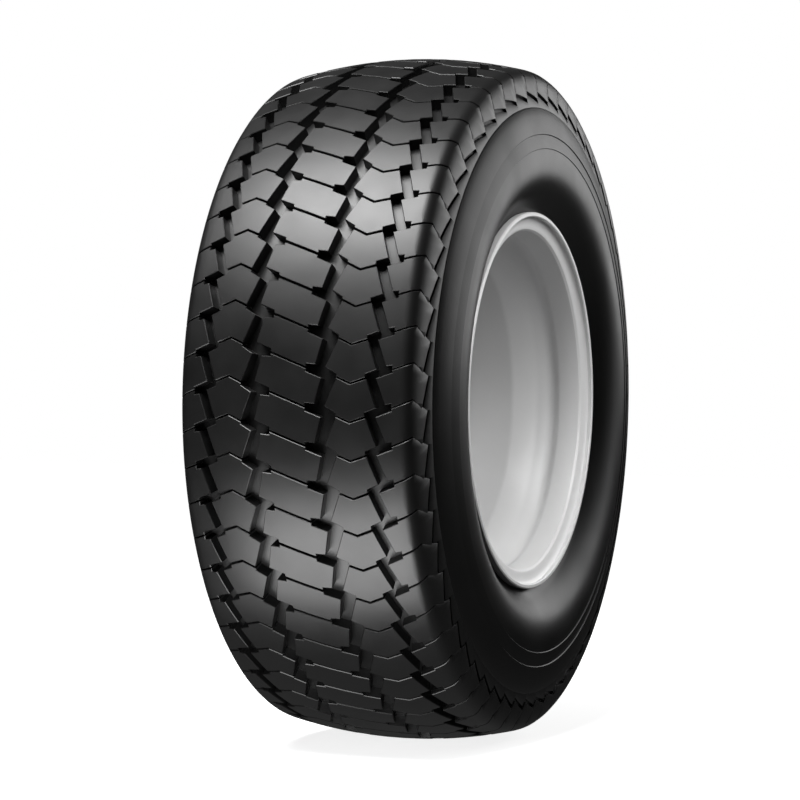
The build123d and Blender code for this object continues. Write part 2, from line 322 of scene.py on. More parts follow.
@dataclass(frozen=True)
class TurnedFinish(GrainedFinish):
    """A grained finish with fine rings about the axle line, as a turned mould or tool leaves."""

    ring_mm: float = 3.0
    ring_share: float = 0.5

    def height(
        self, tree: bpy.types.NodeTree, place: bpy.types.NodeSocket
    ) -> bpy.types.NodeSocket:
        """Grain and rings together.

        Args:
            tree: The material's node tree.
            place: The coordinates that the pattern reads.

        Returns:
            The socket that carries the height.
        """
        grain = super().height(tree, place)
        radius, _ = distance_from_axle(tree, place)
        turns = add_node(
            tree,
            "ShaderNodeMath",
            {"operation": "MULTIPLY", 1: 2 * math.pi * per_metre(self.ring_mm)},
            {0: radius},
        )
        wave = add_node(
            tree, "ShaderNodeMath", {"operation": "SINE"}, {0: turns.outputs["Value"]}
        )
        share = add_node(
            tree,
            "ShaderNodeMath",
            {"operation": "MULTIPLY_ADD", 1: self.ring_share / 2},
            {0: wave.outputs["Value"], 2: grain},
        )
        return share.outputs["Value"]


@dataclass(frozen=True)
class CordFinish(GrainedFinish):
    """Rubberised cord: ribs that stand side by side along the tyre's section or round it."""

    cord_mm: float = 4.0
    round_tyre: bool = False
    slant: float = 0.0

    def height(
        self, tree: bpy.types.NodeTree, place: bpy.types.NodeSocket
    ) -> bpy.types.NodeSocket:
        """Cord ribs under the skim of rubber.

        Args:
            tree: The material's node tree.
            place: The coordinates that the pattern reads.

        Returns:
            The socket that carries the height.
        """
        split = add_node(tree, "ShaderNodeSeparateXYZ", {}, {"Vector": place})
        _, angle = distance_from_axle(tree, place)
        if self.round_tyre:
            phase = add_node(
                tree,
                "ShaderNodeMath",
                {"operation": "MULTIPLY", 1: 2 * math.pi * per_metre(self.cord_mm)},
                {0: split.outputs["Y"]},
            ).outputs["Value"]
        else:
            cords = round(2 * math.pi * 400.0 / self.cord_mm)
            along = add_node(
                tree, "ShaderNodeMath", {"operation": "MULTIPLY", 1: float(cords)}, {0: angle}
            ).outputs["Value"]
            lean = add_node(
                tree,
                "ShaderNodeMath",
                {"operation": "MULTIPLY", 1: 2 * math.pi * per_metre(self.cord_mm) * self.slant},
                {0: split.outputs["Y"]},
            ).outputs["Value"]
            phase = add_node(
                tree, "ShaderNodeMath", {"operation": "ADD"}, {0: along, 1: lean}
            ).outputs["Value"]
        wave = add_node(tree, "ShaderNodeMath", {"operation": "SINE"}, {0: phase})
        raised = add_node(
            tree,
            "ShaderNodeMath",
            {"operation": "MULTIPLY_ADD", 1: 0.5, 2: 0.5},
            {0: wave.outputs["Value"]},
        )
        return raised.outputs["Value"]


# Vulcanised tread rubber: carbon black gives near-black, the steel mould a satin skin that
# holds a broad soft highlight. Its 0.5 mm grain is too fine to show, so it is drawn at 1.6 mm.
TREAD_RUBBER = GrainedFinish(
    "moulded_tread_rubber",
    "#0f0f0f",
    0.42,
    coat=0.35,
    coat_roughness=0.4,
    grain_mm=1.6,
    grain_depth_mm=0.05,
    cloud_mm=70.0,
    gloss_spread=0.05,
    shade="#151515",
)

# Sidewall rubber: a softer, smoother compound from a turned mould, so it shines more and
# carries faint rings. The tool marks are 0.8 mm apart and are drawn at 2.5 mm.
SIDE_RUBBER = TurnedFinish(
    "moulded_sidewall_rubber",
    "#0e0e0e",
    0.38,
    grain_mm=2.2,
    grain_depth_mm=0.03,
    cloud_mm=110.0,
    gloss_spread=0.05,
    shade="#141414",
    ring_mm=2.5,
    ring_share=0.35,
)

# Polyester carcass cords in a rubber skim: dark ribs run from bead to bead.
CARCASS_CORD = CordFinish(
    "rubberised_carcass_cord", "#262422", 0.55, grain_depth_mm=0.3, cord_mm=4.0
)

# Breaker cords lie at a slant to the tread, each ply the other way.
BREAKER_CORD = CordFinish(
    "rubberised_breaker_cord", "#2b2825", 0.55, grain_depth_mm=0.3, cord_mm=4.0, slant=0.5
)
BREAKER_CORD_OTHER_WAY = CordFinish(
    "rubberised_breaker_cord_counter", "#2b2825", 0.55, grain_depth_mm=0.3, cord_mm=4.0, slant=-0.5
)

# Halobutyl liner: calendered smooth, a little brown, with a low dull shine.
LINER_RUBBER = GrainedFinish(
    "calendered_liner_rubber", "#1d1b19", 0.45, grain_mm=3.0, grain_depth_mm=0.04, shade="#292521"
)

# Filler and chafer compounds are stiff and dull, extruded rather than moulded.
BEAD_RUBBER = GrainedFinish(
    "extruded_bead_rubber", "#1b1b1b", 0.6, grain_mm=1.2, grain_depth_mm=0.08, shade="#242424"
)

# Bead wire is bronze-plated steel wound in a bundle: warm metal with fine turns.
BEAD_WIRE = CordFinish(
    "bronzed_bead_wire",
    "#a07d56",
    0.35,
    metallic=1.0,
    grain_depth_mm=0.35,
    cord_mm=1.6,
    round_tyre=True,
    gloss_spread=0.1,
)

# Light grey wheel enamel, sprayed and baked: soft gloss with an orange peel of about 1.5 mm,
# drawn at 6 mm, and a faint change of tone where the coat is thicker.
RIM_ENAMEL = GrainedFinish(
    "sprayed_wheel_enamel",
    "#c4c4c4",
    0.42,
    coat=0.25,
    coat_roughness=0.22,
    grain_mm=6.0,
    grain_depth_mm=0.035,
    cloud_mm=160.0,
    gloss_spread=0.06,
    shade="#bababa",
)

# Turned valve brass: warm yellow, bright, with tool rings too fine to see but for the sheen.
VALVE_BRASS = GrainedFinish(
    "turned_valve_brass",
    "#c8a55a",
    0.28,
    metallic=1.0,
    grain_mm=0.4,
    grain_depth_mm=0.01,
    cloud_mm=6.0,
    gloss_spread=0.08,
    shade="#b08e48",
)

# Drawn valve steel with bright zinc: cool grey metal with a slight bloom.
VALVE_STEEL = GrainedFinish(
    "zinced_valve_steel",
    "#b4b7ba",
    0.32,
    metallic=1.0,
    grain_mm=0.5,
    grain_depth_mm=0.01,
    cloud_mm=5.0,
    gloss_spread=0.1,
    shade="#9da0a4",
)

# Valve seals: moulded black nitrile with a dull skin.
SEAL_RUBBER = GrainedFinish(
    "moulded_seal_rubber", "#171717", 0.55, grain_mm=0.6, grain_depth_mm=0.02, cloud_mm=8.0
)

# The cap is injection-moulded nylon: black, a little shinier than the rubber.
CAP_NYLON = GrainedFinish(
    "moulded_cap_nylon", "#1f2021", 0.35, grain_mm=0.5, grain_depth_mm=0.01, cloud_mm=6.0
)


# ---- meshes ----


def outline_mesh(
    points: Iterable[tuple[float, float]], radii: dict[int, tuple[float, int]], closed: bool = True
) -> bmesh.types.BMesh:
    """Draw a section as a loop of edges in the XY plane and round its chosen corners.

    Args:
        points: Corners as (radius, place along the axle) in millimetres.
        radii: Corner numbers with how far back a rounding starts, and its segments.
        closed: Whether the last corner joins the first.

    Returns:
        The loop, in metres.
    """
    mesh = bmesh.new()
    corners = [mesh.verts.new((r * MM, y * MM, 0.0)) for r, y in points]
    ends = corners[1:] + (corners[:1] if closed else [])
    for start, end in zip(corners, ends):
        mesh.edges.new((start, end))
    for number, (reach, segments) in radii.items():
        bmesh.ops.bevel(
            mesh,
            geom=[corners[number]],
            offset=reach * MM,
            offset_type="OFFSET",
            segments=segments,
            profile=0.5,
            affect="VERTICES",
            material=-1,
        )
    return mesh


def turned(mesh: bmesh.types.BMesh, steps: int, axis: Vector = AXLE, cent: Vector = ORIGIN) -> None:
    """Spin a section once round an axis and close it.

    Args:
        mesh: The section, which becomes the turned shape.
        steps: Facets round the turn.
        axis: Direction of the axis.
        cent: A point on the axis.
    """
    bmesh.ops.spin(
        mesh,
        geom=mesh.verts[:] + mesh.edges[:],
        cent=cent,
        axis=axis,
        dvec=(0.0, 0.0, 0.0),
        angle=2 * math.pi,
        steps=steps,
        use_merge=True,
        use_normal_flip=False,
        use_duplicate=False,
    )


def repeated(mesh: bmesh.types.BMesh, count: int) -> None:
    """Copy everything in the mesh round the axle line, evenly.

    Args:
        mesh: The mesh with one copy in it.
        count: How many there are in the end.
    """
    bmesh.ops.spin(
        mesh,
        geom=mesh.verts[:] + mesh.edges[:] + mesh.faces[:],
        cent=ORIGIN,
        axis=AXLE,
        dvec=(0.0, 0.0, 0.0),
        angle=2 * math.pi * (count - 1) / count,
        steps=count - 1,
        use_merge=False,
        use_normal_flip=False,
        use_duplicate=True,
    )


def finished(
    name: str,
    mesh: bmesh.types.BMesh,
    finish: Finish,
    body: Body = Body.WHEEL,
    stands_for: tuple[str, ...] = (),
    sharp_angle: float = 32.0,
    weld: float = 0.00001,
) -> bpy.types.Object:
    """Turn a bmesh into a dressed piece that rides on its body.

    Args:
        name: The piece's name.
        mesh: Its shape in place, which is freed.
        finish: Its finish.
        body: The body that carries it.
        stands_for: CAD nodes that it replaces.
        sharp_angle: Edges over this angle, in degrees, stay crisp.
        weld: Distance in metres within which doubles are merged.

    Returns:
        The piece.
    """
    bmesh.ops.remove_doubles(mesh, verts=mesh.verts[:], dist=weld)
    bmesh.ops.recalc_face_normals(mesh, faces=mesh.faces[:])
    for face in mesh.faces:
        face.smooth = True
    data = bpy.data.meshes.new(name)
    mesh.to_mesh(data)
    mesh.free()
    data.set_sharp_from_angle(angle=math.radians(sharp_angle))
    data.materials.append(finish.made())
    piece = bpy.data.objects.new(name, data)
    bpy.context.scene.collection.objects.link(piece)
    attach(piece, body.value)
    if stands_for:
        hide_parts(*stands_for)
    log.info("%s: %d faces", name, len(data.polygons))
    return piece


# ---- tyre ----


@dataclass
class Crown:
    """The tread's outer surface, unrolled: w runs from the middle line over the shoulder."""

    radius: float = 450.0
    half_width: float = 145.5
    drop: float = 18.0
    round_start: float = 139.0
    round_end_radius: float = 415.0
    flank_top: tuple[float, float] = (151.4, 425.3)
    flank_foot: tuple[float, float] = (162.8, 381.9)
    path: list[tuple[float, float, float]] = field(default_factory=list)

    def __post_init__(self) -> None:
        """Work out the path of the surface as (w, place, radius)."""
        run = self.flank_foot[0] - self.flank_top[0]
        fall = self.flank_top[1] - self.flank_foot[1]
        lean = run / fall

        def crown(place: float) -> float:
            """Radius of the crown at a place across the tread."""
            return self.radius - self.drop * (place / self.half_width) ** 2

        start = (self.round_start, crown(self.round_start))
        slope = -2 * self.drop * self.round_start / self.half_width**2
        end = (
            self.flank_top[0] + lean * (self.flank_top[1] - self.round_end_radius),
            self.round_end_radius,
        )
        # Where the crown's and the flank's tangents meet
        knee_radius = (
            start[1] + slope * (end[0] - start[0] + lean * end[1])
        ) / (1 + slope * lean)
        knee = (end[0] + lean * (end[1] - knee_radius), knee_radius)
        places = [(y, crown(y)) for y in [4.0 * i for i in range(34)] + [self.round_start]]
        for i in range(1, 13):
            t = i / 12
            places.append(
                tuple(
                    (1 - t) ** 2 * a + 2 * t * (1 - t) * k + t**2 * e
                    for a, k, e in zip(start, knee, end)
                )
            )
        places.append(self.flank_foot)
        w = 0.0
        last = places[0]
        for place in places:
            w += math.dist(last, place)
            self.path.append((w, *place))
            last = place

    def at(self, w: float, depth: float) -> tuple[float, float]:
        """Place and radius of a point under the surface.

        Args:
            w: Distance along the surface from the middle line, either side.
            depth: How far below the surface.

        Returns:
            Place along the axle, with the sign of w, and radius.
        """
        sign = 1.0 if w >= 0 else -1.0
        w = min(abs(w), self.path[-1][0])
        for (w0, y0, r0), (w1, y1, r1) in zip(self.path, self.path[1:]):
            if w <= w1 or w1 == self.path[-1][0]:
                share = (w - w0) / (w1 - w0)
                y = y0 + share * (y1 - y0)
                r = r0 + share * (r1 - r0)
                break
        near = self.normal(w)
        return sign * (y - depth * near[0]), r - depth * near[1]

    def normal(self, w: float) -> tuple[float, float]:
        """The surface's outward direction at w, as (along the axle, outwards)."""
        reach = 2.5
        w = abs(w)
        low = self.point(max(w - reach, 0.0))
        high = self.point(min(w + reach, self.path[-1][0]))
        dy, dr = high[0] - low[0], high[1] - low[1]
        length = math.hypot(dy, dr)
        return -dr / length, dy / length

    def point(self, w: float) -> tuple[float, float]:
        """Place and radius of the surface at w."""
        for (w0, y0, r0), (w1, y1, r1) in zip(self.path, self.path[1:]):
            if w <= w1 or w1 == self.path[-1][0]:
                share = (w - w0) / (w1 - w0)
                return y0 + share * (y1 - y0), r0 + share * (r1 - r0)
        return self.path[-1][1:]

    def w_of_place(self, place: float) -> float:
        """The unrolled distance at which the surface reaches a place along the axle."""
        for (w0, y0, _), (w1, y1, _) in zip(self.path, self.path[1:]):
            if y0 <= place <= y1:
                return w0 + (w1 - w0) * (place - y0) / (y1 - y0)
        return self.path[-1][0]

    def w_of_radius(self, radius: float) -> float:
        """The unrolled distance at which the flank comes down to a radius."""
        for (w0, _, r0), (w1, _, r1) in zip(self.path, self.path[1:]):
            if r1 <= radius <= r0:
                return w0 + (w1 - w0) * (r0 - radius) / (r0 - r1)
        return self.path[-1][0]


@dataclass
class TreadRow:
    """One row of equal blocks: its outline as (degrees round the tyre, w across it)."""

    name: str
    corners: list[tuple[float, float]]
    cuts_round: list[float]
    cuts_across: list[float]

    def half_turned(self, name: str) -> TreadRow:
        """The row on the tread's other side, turned half a turn."""
        return TreadRow(
            name,
            [(-u, -w) for u, w in self.corners],
            [-u for u in self.cuts_round],
            [-w for w in self.cuts_across],
        )


@dataclass
class Tread:
    """The skirted band and its five rows of blocks."""

    crown: Crown = field(default_factory=Crown)
    groove_depth: float = 15.0
    block_sink: float = 1.5
    edge_bevel: float = 0.7
    phase: float = 0.37
    scale_radius: float = 441.0
    centre_slit: float = 0.175
    middle_slit: float = 0.15
    edge_slit: float = 0.115
    skirt_gap: float = 5.0
    tooth_low_radius: float = 394.7
    tooth_high_radius: float = 405.9
    foot_radius: float = 381.9
    skirt_sink: float = 1.2
    turns: int = 360

    def rows(self) -> list[TreadRow]:
        """The outlines of the five rows, read off the unrolled pattern."""
        g, m, e = self.centre_slit, self.middle_slit, self.edge_slit
        centre_half = [
            (1.13 + g, 23.4),
            (1.73, 23.4),
            (2.73, 43.3),
            (6.63, 35.5),
            (6.5, 23.4),
            (7.13 - g, 23.4),
        ]
        centre = TreadRow(
            "tread_blocks_centre",
            centre_half + [(6.0 - u, -w) for u, w in centre_half],
            [1.5, 3.0, 4.5],
            [-23.4, 0.0, 23.4],
        )
        middle = TreadRow(
            "tread_blocks_outer_middle",
            [
                (2.5 + m, 62.2),
                (7.0, 48.2),
                (8.03, 62.4),
                (8.5 - m, 62.2),
                (9.48 - m, 79.3),
                (8.63 - m, 97.8),
                (7.93, 97.8),
                (7.2, 111.6),
                (2.9, 99.5),
                (2.63 + m, 98.6),
                (3.48 + m, 79.3),
            ],
            [4.2, 5.8, 7.4],
            [62.3, 79.3, 97.8],
        )
        low = self.crown.w_of_radius(self.tooth_low_radius)
        high = self.crown.w_of_radius(self.tooth_high_radius)
        bend = self.crown.w_of_place(151.4)
        edge = TreadRow(
            "tread_blocks_outer_edge",
            [
                (1.2 + e, 130.0),
                (1.68, 130.5),
                (2.63, 111.0),
                (6.65, 122.5),
                (6.5, 130.0),
                (7.2 - e, 130.0),
                (6.43 - e, 145.5),
                (5.83 - e, bend),
                (7.6 - e, high),
                (1.6 + e, low),
                (-0.17 + e, bend),
                (0.43 + e, 145.5),
            ],
            [1.6, 3.2, 4.8, 6.4],
            [130.0, 139.0, 144.0, 148.5, 153.0, 158.0, 165.0],
        )
        return [
            centre,
            middle,
            middle.half_turned("tread_blocks_inner_middle"),
            edge,
            edge.half_turned("tread_blocks_inner_edge"),
        ]

    def root_depth(self, w: float) -> float:
        """How far the grooves' floor lies below the surface at w."""
        levels = [(0.0, 15.0), (140.0, 15.0), (152.0, 11.0), (162.0, 7.0), (176.0, 5.0), (400.0, 4.0)]
        w = abs(w)
        for (w0, d0), (w1, d1) in zip(levels, levels[1:]):
            if w <= w1:
                return d0 + (d1 - d0) * (w - w0) / (w1 - w0)
        return levels[-1][1]

    def wrap(self, mesh: bmesh.types.BMesh, extra: float = 0.0) -> None:
        """Bend a flat block onto the tyre; its height counts down from the surface.

        Args:
            mesh: The block, with x round the tyre, y across it and z from -1 to 0.
            extra: How far its foot goes below the grooves' floor.
        """
        for vert in mesh.verts:
            x, w, z = vert.co
            depth = -z * (self.root_depth(w) + extra) / self.groove_depth
            place, radius = self.crown.at(w, depth)
            turn = x / self.scale_radius + math.radians(self.phase)
            vert.co = Vector(
                (radius * math.cos(turn), -place, radius * math.sin(turn))
            ) * MM

    def flat_face(self, row: TreadRow) -> bmesh.types.BMesh:
        """Draw a row's block flat, in millimetres, and divide it so that it can bend.

        Args:
            row: The row.

        Returns:
            The divided face.
        """
        mesh = bmesh.new()
        rim = [
            mesh.verts.new((math.radians(u) * self.scale_radius, w, 0.0)) for u, w in row.corners
        ]
        mesh.faces.new(rim)
        planes = [
            (Vector((math.radians(u) * self.scale_radius, 0, 0)), Vector((1, 0, 0)))
            for u in row.cuts_round
        ] + [(Vector((0, w, 0)), Vector((0, 1, 0))) for w in row.cuts_across]
        for at, normal in planes:
            bmesh.ops.bisect_plane(
                mesh,
                geom=mesh.verts[:] + mesh.edges[:] + mesh.faces[:],
                dist=0.01,
                plane_co=at,
                plane_no=normal,
            )
        return mesh

    def block_row(self, row: TreadRow) -> bpy.types.Object:
        """Build one row: extrude the block, bevel its top edge, bend it, repeat it.

        Args:
            row: The row.

        Returns:
            The row as one piece.
        """
        mesh = self.flat_face(row)
        top = mesh.faces[:]
        out = bmesh.ops.extrude_face_region(mesh, geom=top, use_keep_orig=True)
        lower = [g for g in out["geom"] if isinstance(g, bmesh.types.BMVert)]
        bmesh.ops.translate(mesh, verts=lower, vec=(0.0, 0.0, -self.groove_depth))
        under = [f for f in mesh.faces if all(v.co.z < -1 for v in f.verts)]
        bmesh.ops.dissolve_faces(mesh, faces=under, use_verts=False)
        bmesh.ops.recalc_face_normals(mesh, faces=mesh.faces[:])
        crest = [
            edge
            for edge in mesh.edges
            if all(abs(v.co.z) < 0.01 for v in edge.verts)
            and any(min(v.co.z for v in face.verts) < -1 for face in edge.link_faces)
        ]
        bmesh.ops.bevel(
            mesh,
            geom=crest,
            offset=self.edge_bevel,
            offset_type="OFFSET",
            segments=1,
            profile=0.5,
            affect="EDGES",
            material=-1,
        )
        self.wrap(mesh, self.block_sink)
        repeated(mesh, PITCHES)
        return finished(
            row.name, mesh, TREAD_RUBBER, stands_for=("tread_cap",)
        )

    def floor_points(self) -> list[tuple[float, float]]:
        """The grooves' floor as (radius, place), from the middle to the skirt's edge."""
        stations = [0.0, 22.0, 43.0, 62.0, 80.0, 98.0, 115.0, 130.0, 140.0, 146.0, 152.0, 158.0, 166.0]
        stations += [176.0, 186.0]
        points = []
        for w in stations:
            place, radius = self.crown.at(w, self.root_depth(w))
            points.append((radius, place))
        foot_place, _ = self.crown.flank_foot
        return points + [(self.foot_radius, foot_place - 3.0)]

    def band(self) -> bpy.types.Object:
        """Turn the band under the blocks."""
        half = self.floor_points()
        inner = [(self.foot_radius, 141.0), (410.0, 128.0), (415.0, 128.0)]
        right = half + inner
        points = [(r, -y) for r, y in reversed(right)] + right[1:]
        mesh = outline_mesh(points, {})
        turned(mesh, self.turns)
        return finished("tread_band", mesh, TREAD_RUBBER)

    def skirt(self, side: Side) -> bpy.types.Object:
        """The raised rim of the skirt, whose upper edge follows the blocks' saw-tooth.

        Args:
            side: The wheel's face.

        Returns:
            The skirt's ring.
        """
        foot = self.crown.path[-1][0]
        low = self.crown.w_of_radius(self.tooth_low_radius) + self.skirt_gap
        high = self.crown.w_of_radius(self.tooth_high_radius) + self.skirt_gap
        u = 1.6
        corners = [(u, low), (u + PITCH_ANGLE, high), (u + PITCH_ANGLE, foot), (u, foot)]
        cuts = [u + PITCH_ANGLE * i / 4 for i in (1, 2, 3)]
        if side is Side.INNER:
            corners = [(-a, -w) for a, w in corners]
            cuts = [-a for a in cuts]
        mesh = self.flat_face(TreadRow("skirt", corners, cuts, []))
        out = bmesh.ops.extrude_face_region(mesh, geom=mesh.faces[:], use_keep_orig=True)
        lower = [g for g in out["geom"] if isinstance(g, bmesh.types.BMVert)]
        bmesh.ops.translate(mesh, verts=lower, vec=(0.0, 0.0, -self.groove_depth))
        bmesh.ops.recalc_face_normals(mesh, faces=mesh.faces[:])
        crest = [
            edge
            for edge in mesh.edges
            if all(abs(v.co.z) < 0.01 for v in edge.verts)
            and abs(edge.verts[0].co.x - edge.verts[1].co.x) > 1.0
            and len(edge.link_faces) == 2
            and any(min(v.co.z for v in face.verts) < -1 for face in edge.link_faces)
        ]
        bmesh.ops.bevel(
            mesh,
            geom=crest,
            offset=self.edge_bevel,
            offset_type="OFFSET",
            segments=1,
            profile=0.5,
            affect="EDGES",
            material=-1,
        )
        for vert in mesh.verts:
            if vert.co.z > -1:
                vert.co.z -= self.skirt_sink * self.groove_depth / self.root_depth(vert.co.y)
        self.wrap(mesh, 1.0)
        repeated(mesh, PITCHES)
        return finished(
            f"tread_skirt_{side.word}", mesh, TREAD_RUBBER, sharp_angle=25.0
        )

    def build(self) -> list[bpy.types.Object]:
        """Build the band, the skirts and all rows."""
        pieces = [self.band()]
        pieces += [self.skirt(side) for side in Side]
        pieces += [self.block_row(row) for row in self.rows()]
        return pieces


@dataclass
class Sidewall:
    """A sidewall from the skirt's edge to the bead, with its fine steps."""

    side: Side
    step_a: float = 381.9
    step_b: float = 347.5
    step_c: float = 329.0
    step: float = 0.9
    turns: int = 360

    def points(self) -> list[tuple[float, float]]:
        """The section as (radius, place from the middle), outside first, then inside."""
        d = self.step
        outside = [
            (384.0, 160.0),
            (383.0, 161.2),
            (381.9, 161.9),
            (372.0, 165.6),
            (360.0, 169.6),
            (self.step_b + 1.0, 172.2),
            (self.step_b, 172.2 - d),
            (338.0, 173.9),
            (self.step_c + 0.8, 175.5),
            (self.step_c, 175.5 - d * 0.8),
            (322.0, 175.6),
            (314.0, 176.0),
            (304.0, 175.3),
            (294.0, 173.2),
            (285.0, 169.8),
            (276.0, 165.0),
            (268.0, 159.4),
            (261.0, 153.4),
            (256.0, 149.0),
            (252.0, 146.8),
            (247.0, 145.6),
            (243.0, 142.6),
            (240.5, 139.7),
            (233.0, 139.7),
        ]
        inside = [
            (233.0, 136.8),
            (242.5, 136.8),
            (290.0, 151.0),
            (318.0, 168.0),
            (381.9, 140.2),
            (384.0, 140.2),
        ]
        return outside + inside

    def build(self) -> bpy.types.Object:
        """Turn the section and dress it."""
        sign = self.side.value
        mesh = outline_mesh([(r, sign * y) for r, y in self.points()], {})
        turned(mesh, self.turns)
        return finished(
            f"sidewall_rubber_{self.side.word}",
            mesh,
            SIDE_RUBBER,
            stands_for=(f"sidewall_{self.side.word}",),
            sharp_angle=25.0,
        )


@dataclass
class Rim:
    """The rolled drop-centre rim with its safety humps and curled lips."""

    lip_end: float = 155.9
    flange: float = 247.0
    turns: int = 300

    def inner_half(self) -> list[tuple[float, float]]:
        """The face that looks at the axle, from the middle to the lip, as (radius, place)."""
        return [
            (200.0, 0.0),
            (200.0, 50.0),
            (200.3, 53.0),
            (201.2, 56.5),
            (213.2, 81.0),
            (214.9, 83.5),
            (216.4, 87.0),
            (221.0, 96.0),
            (223.2, 100.0),
            (224.4, 105.0),
            (223.4, 109.5),
            (221.0, 113.0),
            (220.4, 117.0),
            (222.0, 139.0),
            (222.6, 142.5),
            (225.0, 145.2),
            (229.0, 146.3),
            (237.0, 147.0),
            (240.0, 148.4),
            (241.6, 150.0),
            (241.4, 152.0),
            (241.0, 154.6),
            (242.2, self.lip_end - 0.2),
        ]

    def outer_half(self) -> list[tuple[float, float]]:
        """The face under the tyre, from the lip back to the middle."""
        return [
            (245.6, self.lip_end - 0.2),
            (self.flange, self.lip_end - 1.6),
            (self.flange, 147.5),
            (246.0, 144.0),
            (243.6, 141.2),
            (240.7, 139.9),
            (230.0, 139.7),
            (228.9, 138.0),
            (226.3, 113.0),
            (228.6, 108.5),
            (229.2, 105.0),
            (228.4, 100.0),
            (226.0, 95.0),
            (219.0, 80.0),
            (207.0, 54.5),
            (206.0, 50.0),
            (206.0, 0.0),
        ]

    def build(self) -> bpy.types.Object:
        """Turn the rim's section and dress it."""
        half = self.inner_half() + self.outer_half()[:-1]
        right = [(r, y) for r, y in half]
        left = [(r, -y) for r, y in reversed(half[1:])]
        middle_out = [(206.0, 0.0)]
        mesh = outline_mesh(right + middle_out + left, {})
        turned(mesh, self.turns)
        return finished(
            "rim_barrel_enamelled",
            mesh,
            RIM_ENAMEL,
            stands_for=("rim_barrel",),
            sharp_angle=28.0,
        )


@dataclass
class Disc:
    """The pressed disc: hub plate with stud holes, cone, and the skirt in the well."""

    bore: float = 80.5
    flat: float = 131.0
    face: float = 15.0
    thickness: float = 10.0
    skirt_radius: float = 200.0
    skirt_thickness: float = 8.0
    skirt_start: float = 24.0
    skirt_end: float = 48.0
    stud_circle: float = 102.5
    stud_radius: float = 10.5
    studs: int = 6
    turns: int = 240

    def plate(self, mesh: bmesh.types.BMesh) -> None:
        """Make the hub plate: a ring of faces round one stud hole, six times over.

        Args:
            mesh: The mesh that gets the plate.
        """
        count = 32
        reach = math.pi / self.studs
        hole = bmesh.ops.create_circle(mesh, cap_ends=False, radius=self.stud_radius, segments=count)[
            "verts"
        ]
        edge = bmesh.ops.create_circle(mesh, cap_ends=False, radius=30.0, segments=count)["verts"]
        for ring in (hole, edge):
            ring.sort(key=lambda v: math.atan2(v.co.y, v.co.x) % (2 * math.pi))
        side = count // 4
        for number, vert in enumerate(edge):
            # Start on the sector's outer corner and go round it, a quarter of the points a side
            quarter, step = divmod((number - side // 2) % count, side)
            share = step / side
            if quarter == 0:
                radius, turn = self.flat + share * (self.bore - self.flat), reach
            elif quarter == 1:
                radius, turn = self.bore, reach - 2 * reach * share
            elif quarter == 2:
                radius, turn = self.bore + share * (self.flat - self.bore), -reach
            else:
                radius, turn = self.flat, -reach + 2 * reach * share
            if number == side // 2:
                radius, turn = self.flat, reach
            vert.co = Vector((radius * math.cos(turn), radius * math.sin(turn), 0.0))
        for vert in hole:
            vert.co.x += self.stud_circle
        bmesh.ops.bridge_loops(mesh, edges=mesh.edges[:])
        bmesh.ops.rotate(
            mesh,
            verts=mesh.verts[:],
            cent=ORIGIN,
            matrix=Matrix.Rotation(math.pi / 2, 3, "X"),
        )
        bmesh.ops.scale(mesh, verts=mesh.verts[:], vec=(MM, MM, MM))
        repeated(mesh, self.studs)
        bmesh.ops.remove_doubles(mesh, verts=mesh.verts[:], dist=0.00002)
        bmesh.ops.translate(
            mesh, verts=mesh.verts[:], vec=(0.0, (self.face - self.thickness) * MM, 0.0)
        )
        out = bmesh.ops.extrude_face_region(mesh, geom=mesh.faces[:], use_keep_orig=True)
        far = [g for g in out["geom"] if isinstance(g, bmesh.types.BMVert)]
        bmesh.ops.translate(mesh, verts=far, vec=(0.0, self.thickness * MM, 0.0))
        bmesh.ops.recalc_face_normals(mesh, faces=mesh.faces[:])
        rims = [
            edge
            for edge in mesh.edges
            if len(edge.link_faces) == 2
            and edge.calc_face_angle(0.0) > 1.0
            and abs(edge.verts[0].co.y - edge.verts[1].co.y) < 1e-6
            and max(math.hypot(v.co.x, v.co.z) for v in edge.verts) < (self.flat - 1) * MM
        ]
        bmesh.ops.bevel(
            mesh,
            geom=rims,
            offset=0.9 * MM,
            offset_type="OFFSET",
            segments=2,
            profile=0.5,
            affect="EDGES",
            material=-1,
        )

    def build(self) -> bpy.types.Object:
        """Join the plate to the turned cone and skirt."""
        front = self.face - self.thickness
        mesh = outline_mesh(
            [
                (self.flat - 0.02, front),
                (self.skirt_radius - 5.0, self.skirt_start),
                (self.skirt_radius, self.skirt_start),
                (self.skirt_radius, self.skirt_end),
                (self.skirt_radius - self.skirt_thickness, self.skirt_end),
                (self.skirt_radius - self.skirt_thickness, self.skirt_start + self.thickness),
                (self.flat - 0.02, self.face),
            ],
            {1: (4.0, 4), 5: (6.0, 5), 4: (1.0, 2), 3: (1.0, 2)},
        )
        turned(mesh, self.turns)
        plate = bmesh.new()
        self.plate(plate)
        data = bpy.data.meshes.new("plate")
        plate.to_mesh(data)
        plate.free()
        mesh.from_mesh(data)
        bpy.data.meshes.remove(data)
        return finished(
            "wheel_disc_pressed",
            mesh,
            RIM_ENAMEL,
            stands_for=("wheel_disc",),
            weld=0.000001,
        )


